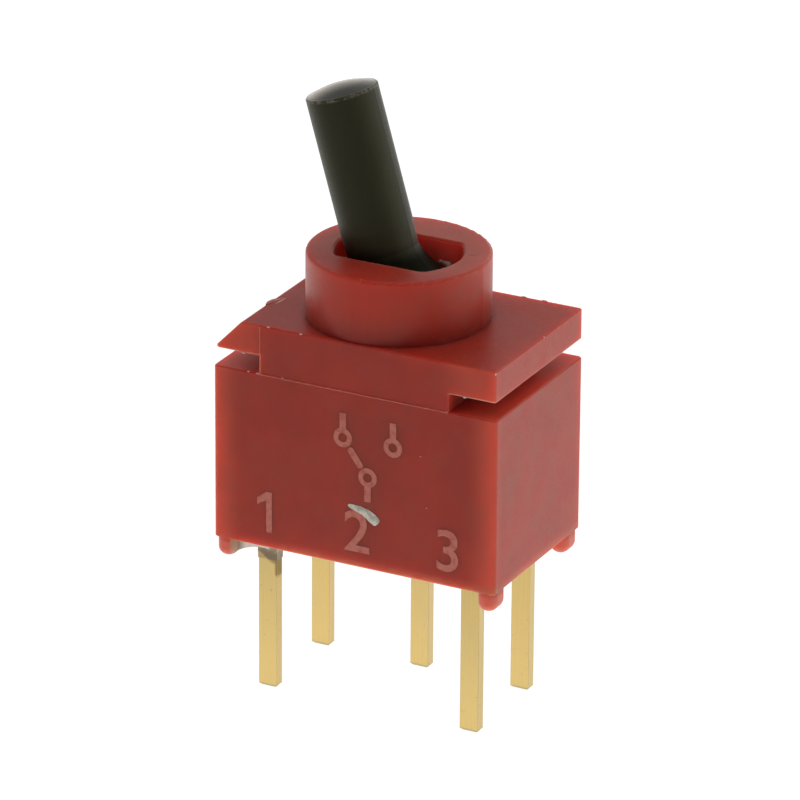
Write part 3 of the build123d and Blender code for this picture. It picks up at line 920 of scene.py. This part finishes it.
def wear_piece(name, shapes, material):
    """Several sets of points and faces as one piece on the body."""
    points, faces = [], []
    for more_points, more_faces in shapes:
        shift = len(points)
        points += more_points
        faces += [tuple(corner + shift for corner in face) for face in more_faces]
    mesh = bpy.data.meshes.new(name)
    mesh.from_pydata([tuple(point * MM) for point in points], [], faces)
    for polygon in mesh.polygons:
        polygon.use_smooth = True
    mesh.materials.append(material)
    piece = bpy.data.objects.new(name, mesh)
    bpy.context.scene.collection.objects.link(piece)
    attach(piece, "body")


# ---- wear ---------------------------------------------------------------------------------------

def scratch_width(tip):
    """The width of a fine line along its share: tip at both ends and wider halfway."""
    return lambda share: tip + 0.03 * math.sin(math.pi * share)


def rim_mark():
    """A short dark drag mark on the bushing's rim, beside the slot."""
    mark = smear([(1.50, 0.38), (1.60, 0.43), (1.72, 0.52)], scratch_width(0.015), 0.003, on_rim,
                 ragged=0.6, steps=14, sections=4)
    wear_piece("rim_mark", [mark], pale_smear("rim_mark", RUBBED_RED))


def crescent_width(share):
    """Thin at its left tip, broad and round at its right end."""
    swell = 0.24 * math.sin(math.pi * min(0.12 + share * 0.50, 0.5))
    return swell * math.sqrt(max(0.0, 1 - (2 * abs(share - 0.5)) ** 7))


def print_smear():
    """The dried, pale crescent over the print."""
    spine = [(-0.13, 5.255), (0.12, 5.20), (0.35, 5.13), (0.51, 5.03), (0.62, 4.94)]
    crescent = smear(spine, crescent_width, 0.009, on_front)
    wear_piece("dried_smear", [crescent], pale_smear("dried_smear", DRIED_PASTE))


def edge_flecks():
    """Tiny crumbs of pale nylon left along the trimmed edges."""
    shapes = []
    front = ((-2.74, 8.37, 0.035), (-2.11, 9.10, 0.030), (-1.31, 9.09, 0.028), (-2.39, 7.95, 0.035),
             (-2.62, 7.95, 0.024), (-1.76, 7.96, 0.030), (-0.87, 7.95, 0.026), (2.72, 8.38, 0.036),
             (1.66, 6.77, 0.020), (1.82, 5.57, 0.018))
    for index, (x, z, size) in enumerate(front):
        shapes.append(blob(on_front(x, z, -0.004), (size * 1.4, 0.012, size * 0.55), 100 + index))
    ends = ((-2.13, 9.06, 0.040), (0.24, 9.07, 0.034), (0.96, 9.05, 0.044))
    for index, (y, z, size) in enumerate(ends):
        shapes.append(blob(on_flange_end(y, z, -0.012), (0.014, size, size * 0.7), 200 + index))
    back = ((2.05, 2.12, 0.030), (2.55, 2.12, 0.034))
    for index, (x, y, size) in enumerate(back):
        shapes.append(blob(on_flange(x, y, 0.0), (size * 2.4, 0.022, size * 0.6), 300 + index))
    wear_piece("edge_flecks", shapes, pale_smear("nylon_crumbs", CRUMB_PINK, translucent=0.8))


def burr_width(share):
    """Widest near its first third, then drawn out fine."""
    return 0.02 + 0.10 * math.sin(math.pi * min(0.5, share * 1.3)) * (1 - share) ** 0.6


def flange_burr():
    """A torn burr on the top edge of the bevel and the two scrapes beside it."""
    spine = [(-2.80, -0.97), (-2.80, -0.90), (-2.79, -0.82), (-2.78, -0.72), (-2.76, -0.60)]
    shapes = [smear(spine, burr_width, 0.065, on_bevel_edge, ragged=0.7, steps=16)]
    scrapes = (((-2.75, -0.76), (-2.71, -0.60), (-2.66, -0.44)),
               ((-2.64, -0.84), (-2.61, -0.62), (-2.60, -0.42)))
    for scrape in scrapes:
        shapes.append(smear(scrape, scratch_width(0.012), 0.010, on_flange,
                            ragged=0.5, steps=14, sections=4))
    wear_piece("flange_burr", shapes, pale_smear("torn_nylon", TORN_PINK))


def slot_grease():
    """Dried grease on the slot's back wall and along its front lip."""
    shapes = [blob(Vector((0.70, SLOT_HALF - 0.02, 10.04)), (0.13, 0.05, 0.07), 500),
              blob(Vector((0.84, SLOT_HALF - 0.02, 9.98)), (0.08, 0.05, 0.06), 501),
              blob(Vector((0.56, SLOT_HALF - 0.01, 10.08)), (0.07, 0.04, 0.04), 502)]
    for index in range(6):
        bead = Vector((0.80 + 0.06 * index, -SLOT_HALF + 0.004, 10.552))
        shapes.append(blob(bead, (0.040, 0.016, 0.016), 510 + index))
    wear_piece("slot_grease", shapes, pale_smear("dried_grease", GREASE))


rim_mark()
print_smear()
edge_flecks()
flange_burr()
slot_grease()
